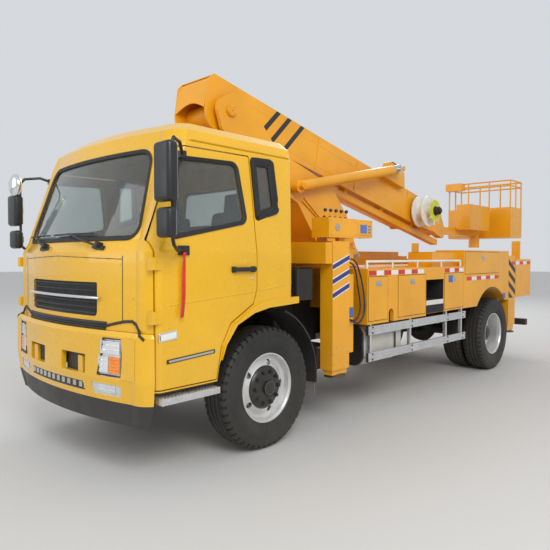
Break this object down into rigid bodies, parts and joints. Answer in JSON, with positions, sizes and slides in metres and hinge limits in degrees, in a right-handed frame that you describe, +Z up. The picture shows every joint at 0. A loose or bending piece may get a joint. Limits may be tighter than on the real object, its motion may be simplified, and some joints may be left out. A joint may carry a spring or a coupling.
{
  "type": "truck-mounted cherry picker",
  "caption": "Two-axle truck with outriggers, a slewing telescopic boom stowed over the cab, and a railed work basket.",
  "frame": {"origin": "on the ground, under the middle of the overall length and width", "axes": "+X towards the cab, +Y to the left, +Z up"},
  "size_m": [8.7998, 2.8, 3.4235],
  "materials": {
    "cab_paint": "cab yellow, clear coat",
    "body_paint": "machine yellow",
    "chassis_paint": "black chassis paint",
    "black_plastic": "black trim",
    "tyre": "black rubber",
    "rim_paint": "silver wheel paint",
    "aluminium": "extruded, natural",
    "glass": "tinted safety glass",
    "lamp": "clear lens",
    "seat_fabric": "grey seat cloth",
    "dash_plastic": "dark grey moulding",
    "rail_paint": "off-white rail paint",
    "tank_paint": "pale tank",
    "reel_plastic": "pale reel flanges",
    "hose_rubber": "black hydraulic hose",
    "rod_chrome": "hard chrome"
  },
  "bodies": {
    "chassis": {"chassis_frame": "chassis_paint", "subframe": "body_paint", "front_axle": "chassis_paint", "rear_axle": "chassis_paint", "leaf_springs": "chassis_paint", "drivetrain": "chassis_paint", "fuel_tank": "tank_paint", "chassis_boxes": "black_plastic", "side_guards": "aluminium", "mudguards": "black_plastic", "cabinets": "body_paint", "deck": "body_paint", "handrails": "rail_paint", "control_station": "body_paint", "cab_shell": "cab_paint", "cab_glass": "glass", "grille": "black_plastic", "bumper": "cab_paint", "lamps": "lamp", "valance": "black_plastic", "cab_steps": "aluminium", "seats": "seat_fabric", "dashboard": "dash_plastic"},
    "door_left": {"door_left": "cab_paint", "door_glass_left": "glass", "mirror_left": "black_plastic"},
    "steer_knuckle_left": {"knuckle_left": "chassis_paint"},
    "wheel_front_left": {"rim_front_left": "rim_paint", "tyre_front_left": "tyre"},
    "wheels_rear_left": {"rim_rear_left": "rim_paint", "tyres_rear_left": "tyre"},
    "door_right": {"door_right": "cab_paint", "door_glass_right": "glass", "mirror_right": "black_plastic"},
    "steer_knuckle_right": {"knuckle_right": "chassis_paint"},
    "wheel_front_right": {"rim_front_right": "rim_paint", "tyre_front_right": "tyre"},
    "wheels_rear_right": {"rim_rear_right": "rim_paint", "tyres_rear_right": "tyre"},
    "outrigger_front_left": {"beam_front_left": "body_paint", "post_hose_1": "hose_rubber", "post_hose_2": "hose_rubber"},
    "leg_front_left": {"jack_front_left": "body_paint"},
    "outrigger_front_right": {"beam_front_right": "body_paint"},
    "leg_front_right": {"jack_front_right": "body_paint"},
    "outrigger_rear_left": {"beam_rear_left": "body_paint"},
    "leg_rear_left": {"jack_rear_left": "body_paint"},
    "outrigger_rear_right": {"beam_rear_right": "body_paint"},
    "leg_rear_right": {"jack_rear_right": "body_paint"},
    "turntable": {"turret": "body_paint"},
    "boom": {"boom_base": "body_paint", "hose_reel": "reel_plastic", "cable_tray": "body_paint"},
    "telescope_2": {"boom_section_2": "body_paint"},
    "telescope_3": {"boom_section_3": "body_paint"},
    "telescope_4": {"boom_section_4": "body_paint"},
    "barrels": {"lift_barrels": "body_paint"},
    "rods": {"lift_rods": "rod_chrome"},
    "basket_carrier": {"basket_mount": "body_paint"},
    "platform": {"basket": "body_paint"}
  },
  "joints": [
    {"name": "steer_left", "type": "hinge", "parent": "chassis", "child": "steer_knuckle_left", "pos_m": [3, 0.78, 0.525], "axis": [0, 0, 1], "range_deg": [-35, 35]},
    {"name": "roll_front_left", "type": "hinge", "parent": "steer_knuckle_left", "child": "wheel_front_left", "pos_m": [3, 0.96, 0.525], "axis": [0, 1, 0], "continuous": true},
    {"name": "roll_rear_left", "type": "hinge", "parent": "chassis", "child": "wheels_rear_left", "pos_m": [-1.7, 0.885, 0.525], "axis": [0, 1, 0], "continuous": true},
    {"name": "open_door_left", "type": "hinge", "parent": "chassis", "child": "door_left", "pos_m": [4.165, 1.134, 1.5], "axis": [0, 0, -1], "range_deg": [0, 70]},
    {"name": "steer_right", "type": "hinge", "parent": "chassis", "child": "steer_knuckle_right", "pos_m": [3, -0.78, 0.525], "axis": [0, 0, 1], "range_deg": [-35, 35]},
    {"name": "roll_front_right", "type": "hinge", "parent": "steer_knuckle_right", "child": "wheel_front_right", "pos_m": [3, -0.96, 0.525], "axis": [0, 1, 0], "continuous": true},
    {"name": "roll_rear_right", "type": "hinge", "parent": "chassis", "child": "wheels_rear_right", "pos_m": [-1.7, -0.885, 0.525], "axis": [0, 1, 0], "continuous": true},
    {"name": "open_door_right", "type": "hinge", "parent": "chassis", "child": "door_right", "pos_m": [4.165, -1.134, 1.5], "axis": [0, 0, 1], "range_deg": [0, 70]},
    {"name": "slew_turret", "type": "hinge", "parent": "chassis", "child": "turntable", "pos_m": [1.03, 0, 1.7], "axis": [0, 0, 1], "range_deg": [-120, 120]},
    {"name": "lift_boom", "type": "hinge", "parent": "turntable", "child": "boom", "pos_m": [2.76, 0, 3.08], "axis": [0, 1, 0], "range_deg": [0, 90]},
    {"name": "extend_section_2", "type": "slide", "parent": "boom", "child": "telescope_2", "axis": [-0.9774, 0, -0.2113], "range_m": [0, 3]},
    {"name": "extend_section_3", "type": "slide", "parent": "telescope_2", "child": "telescope_3", "axis": [-0.9774, 0, -0.2113], "range_m": [0, 3]},
    {"name": "extend_section_4", "type": "slide", "parent": "telescope_3", "child": "telescope_4", "axis": [-0.9774, 0, -0.2113], "range_m": [0, 3]},
    {"name": "level_basket", "type": "hinge", "parent": "telescope_4", "child": "basket_carrier", "pos_m": [-1.99869, 0, 2.09206], "axis": [0, 1, 0], "range_deg": [-90, 0]},
    {"name": "swing_basket", "type": "hinge", "parent": "basket_carrier", "child": "platform", "pos_m": [-3.66, 0, 2.3], "axis": [0, 0, 1], "range_deg": [-45, 45]},
    {"name": "swing_barrels", "type": "hinge", "parent": "turntable", "child": "barrels", "pos_m": [1.85, 0, 2.42], "axis": [0, 1, 0], "range_deg": [0, 88.89]},
    {"name": "push_rods", "type": "slide", "parent": "barrels", "child": "rods", "axis": [-0.9795, 0, 0.2013], "range_m": [0, 1.58887]},
    {"name": "extend_outrigger_front_left", "type": "slide", "parent": "chassis", "child": "outrigger_front_left", "axis": [0, 1, 0], "range_m": [0, 1.1]},
    {"name": "lower_leg_front_left", "type": "slide", "parent": "outrigger_front_left", "child": "leg_front_left", "axis": [0, 0, -1], "range_m": [0, 0.47]},
    {"name": "extend_outrigger_front_right", "type": "slide", "parent": "chassis", "child": "outrigger_front_right", "axis": [0, -1, 0], "range_m": [0, 1.1]},
    {"name": "lower_leg_front_right", "type": "slide", "parent": "outrigger_front_right", "child": "leg_front_right", "axis": [0, 0, -1], "range_m": [0, 0.47]},
    {"name": "extend_outrigger_rear_left", "type": "slide", "parent": "chassis", "child": "outrigger_rear_left", "axis": [0, 1, 0], "range_m": [0, 1.1]},
    {"name": "lower_leg_rear_left", "type": "slide", "parent": "outrigger_rear_left", "child": "leg_rear_left", "axis": [0, 0, -1], "range_m": [0, 0.47]},
    {"name": "extend_outrigger_rear_right", "type": "slide", "parent": "chassis", "child": "outrigger_rear_right", "axis": [0, -1, 0], "range_m": [0, 1.1]},
    {"name": "lower_leg_rear_right", "type": "slide", "parent": "outrigger_rear_right", "child": "leg_rear_right", "axis": [0, 0, -1], "range_m": [0, 0.47]}
  ],
  "couplings": [
    {"joint": "steer_right", "follows": "steer_left", "ratio": 1},
    {"joint": "extend_section_3", "follows": "extend_section_2", "ratio": 1},
    {"joint": "extend_section_4", "follows": "extend_section_2", "ratio": 1},
    {"joint": "level_basket", "follows": "lift_boom", "ratio": -1},
    {"joint": "swing_barrels", "follows": "lift_boom", "ratio": 0.98772},
    {"joint": "push_rods", "follows": "lift_boom", "m_per_rad": 1.0115}
  ]
}
